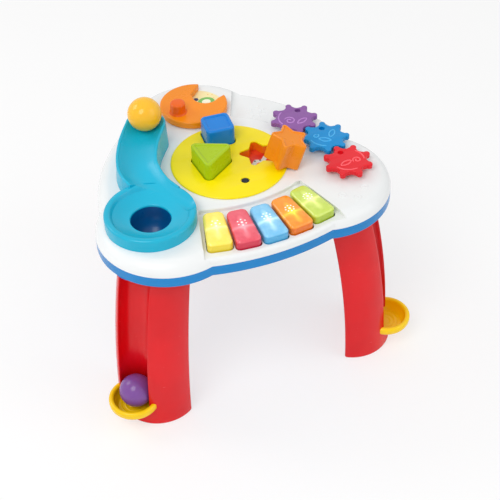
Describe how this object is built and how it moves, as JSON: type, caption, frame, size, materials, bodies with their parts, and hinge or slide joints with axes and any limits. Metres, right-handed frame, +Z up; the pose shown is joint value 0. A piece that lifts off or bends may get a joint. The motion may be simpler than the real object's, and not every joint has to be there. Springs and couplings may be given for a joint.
{
  "type": "musical activity table",
  "caption": "Round-cornered toddler table on half-round legs with ball ramp, shape sorter, light-up keyboard, meshed gears, turning dial, ball trays, balls and blocks.",
  "frame": {"origin": "on the floor, under the middle of the table's bounding box", "axes": "+Z up; the keyboard side faces -Y; +X to the right seen from the keyboard side"},
  "size_m": [0.5092, 0.47, 0.414],
  "materials": {
    "white_plastic": "satin gloss",
    "blue_plastic": "gloss",
    "screw_steel": "zinc plated",
    "yellow_plastic": "satin gloss",
    "dark_lens": "polished",
    "well_blue": "satin",
    "well_green": "satin",
    "orange_plastic": "satin gloss",
    "red_print": "printed",
    "teal_plastic": "satin gloss",
    "navy_plastic": "satin gloss",
    "cream_print": "printed",
    "grey_plastic": "matte",
    "purple_plastic": "satin gloss",
    "gear_blue": "satin gloss",
    "gear_red": "satin gloss",
    "key_yellow": "translucent gloss",
    "key_red": "translucent gloss",
    "key_light_blue": "translucent gloss",
    "key_orange": "translucent gloss",
    "key_green": "translucent gloss",
    "circuit_board": "solder mask",
    "silicone": "matte",
    "lamp_lens": "clear",
    "black_plastic": "matte",
    "cell_wrap": "film",
    "red_plastic": "satin gloss",
    "tray_yellow": "gloss",
    "ball_yellow": "gloss",
    "ball_purple": "gloss",
    "block_blue": "satin gloss",
    "block_green": "satin gloss",
    "block_orange": "satin gloss"
  },
  "bodies": {
    "table": {"top_shell": "white_plastic", "bottom_shell": "blue_plastic", "shell_screws": "screw_steel", "sorter_disc": "yellow_plastic", "light_window": "dark_lens", "square_well": "well_blue", "triangle_well": "well_green", "star_well": "orange_plastic", "star_floor": "red_print", "ball_ramp": "teal_plastic", "drop_chute": "navy_plastic", "picture_plate": "cream_print", "dial_post": "grey_plastic", "gear_posts": "grey_plastic", "key_pins": "screw_steel", "key_screws": "screw_steel", "key_frame": "white_plastic", "key_board": "circuit_board", "key_dome_1": "silicone", "key_dome_2": "silicone", "key_dome_3": "silicone", "key_dome_4": "silicone", "key_dome_5": "silicone", "key_lights": "lamp_lens", "main_board": "circuit_board", "speaker": "black_plastic", "speaker_ring": "white_plastic", "battery_box": "white_plastic", "batteries": "cell_wrap", "battery_contacts": "screw_steel", "switch_body": "black_plastic", "left_leg": "red_plastic", "right_leg": "red_plastic", "back_leg": "red_plastic", "left_tray": "tray_yellow", "right_tray": "tray_yellow", "back_tray": "tray_yellow", "leg_screws": "screw_steel"},
    "dial": {"dial": "orange_plastic"},
    "purple_gear": {"purple_gear": "purple_plastic"},
    "blue_gear": {"blue_gear": "gear_blue"},
    "red_gear": {"red_gear": "gear_red"},
    "switch_knob": {"switch_knob": "black_plastic"},
    "battery_door": {"battery_door": "blue_plastic", "door_screw": "screw_steel"},
    "yellow_ball": {"yellow_ball": "ball_yellow"},
    "purple_ball": {"purple_ball": "ball_purple"},
    "square_block": {"square_block": "block_blue"},
    "triangle_block": {"triangle_block": "block_green"},
    "star_block": {"star_block": "block_orange"},
    "key_1": {"key_1": "key_yellow"},
    "key_2": {"key_2": "key_red"},
    "key_3": {"key_3": "key_light_blue"},
    "key_4": {"key_4": "key_orange"},
    "key_5": {"key_5": "key_green"}
  },
  "joints": [
    {"name": "key_1_press", "type": "hinge", "parent": "table", "child": "key_1", "pos_m": [-0.0612, -0.15182, 0.3109], "axis": [0.9774, -0.2113, 0], "range_deg": [0, 2.6], "stiffness_Nm_per_rad": 0.6, "springref_deg": -3.44, "deforming": ["key_dome_1"]},
    {"name": "key_2_press", "type": "hinge", "parent": "table", "child": "key_2", "pos_m": [-0.02819, -0.16093, 0.3109], "axis": [0.9943, -0.1063, 0], "range_deg": [0, 2.6], "stiffness_Nm_per_rad": 0.6, "springref_deg": -3.44, "deforming": ["key_dome_2"]},
    {"name": "key_3_press", "type": "hinge", "parent": "table", "child": "key_3", "pos_m": [0.006, -0.164, 0.3109], "axis": [1, 0, 0], "range_deg": [0, 2.6], "stiffness_Nm_per_rad": 0.6, "springref_deg": -3.44, "deforming": ["key_dome_3"]},
    {"name": "key_4_press", "type": "hinge", "parent": "table", "child": "key_4", "pos_m": [0.04019, -0.16093, 0.3109], "axis": [0.9943, 0.1063, 0], "range_deg": [0, 2.6], "stiffness_Nm_per_rad": 0.6, "springref_deg": -3.44, "deforming": ["key_dome_4"]},
    {"name": "key_5_press", "type": "hinge", "parent": "table", "child": "key_5", "pos_m": [0.0732, -0.15182, 0.3109], "axis": [0.9774, 0.2113, 0], "range_deg": [0, 2.6], "stiffness_Nm_per_rad": 0.6, "springref_deg": -3.44, "deforming": ["key_dome_5"]},
    {"name": "blue_gear_spin", "type": "hinge", "parent": "table", "child": "blue_gear", "pos_m": [0.157, -0.061, 0.337], "axis": [0, 0, 1], "continuous": true},
    {"name": "purple_gear_spin", "type": "hinge", "parent": "table", "child": "purple_gear", "pos_m": [0.13345, 0.00066, 0.337], "axis": [0, 0, 1], "continuous": true},
    {"name": "red_gear_spin", "type": "hinge", "parent": "table", "child": "red_gear", "pos_m": [0.16298, -0.12673, 0.337], "axis": [0, 0, 1], "continuous": true},
    {"name": "dial_spin", "type": "hinge", "parent": "table", "child": "dial", "pos_m": [0.007, 0.105, 0.332], "axis": [0, 0, 1], "continuous": true},
    {"name": "switch_slide", "type": "slide", "parent": "table", "child": "switch_knob", "axis": [1, 0, 0], "range_m": [0, 0.006]},
    {"name": "door_off", "type": "slide", "parent": "table", "child": "battery_door", "axis": [0, 0, -1], "range_m": [0, 0.03]},
    {"name": "yellow_ball_lift", "type": "slide", "parent": "table", "child": "yellow_ball", "axis": [0, 0, 1], "range_m": [0, 0.06]},
    {"name": "purple_ball_lift", "type": "slide", "parent": "table", "child": "purple_ball", "axis": [0, 0, 1], "range_m": [0, 0.04]},
    {"name": "square_block_lift", "type": "slide", "parent": "table", "child": "square_block", "axis": [0, 0, 1], "range_m": [0, 0.05]},
    {"name": "triangle_block_lift", "type": "slide", "parent": "table", "child": "triangle_block", "axis": [0, 0, 1], "range_m": [0, 0.05]},
    {"name": "star_block_lift", "type": "slide", "parent": "table", "child": "star_block", "axis": [0, 0, 1], "range_m": [0, 0.05]}
  ],
  "couplings": [
    {"joint": "purple_gear_spin", "follows": "blue_gear_spin", "ratio": -1},
    {"joint": "red_gear_spin", "follows": "blue_gear_spin", "ratio": -1}
  ]
}
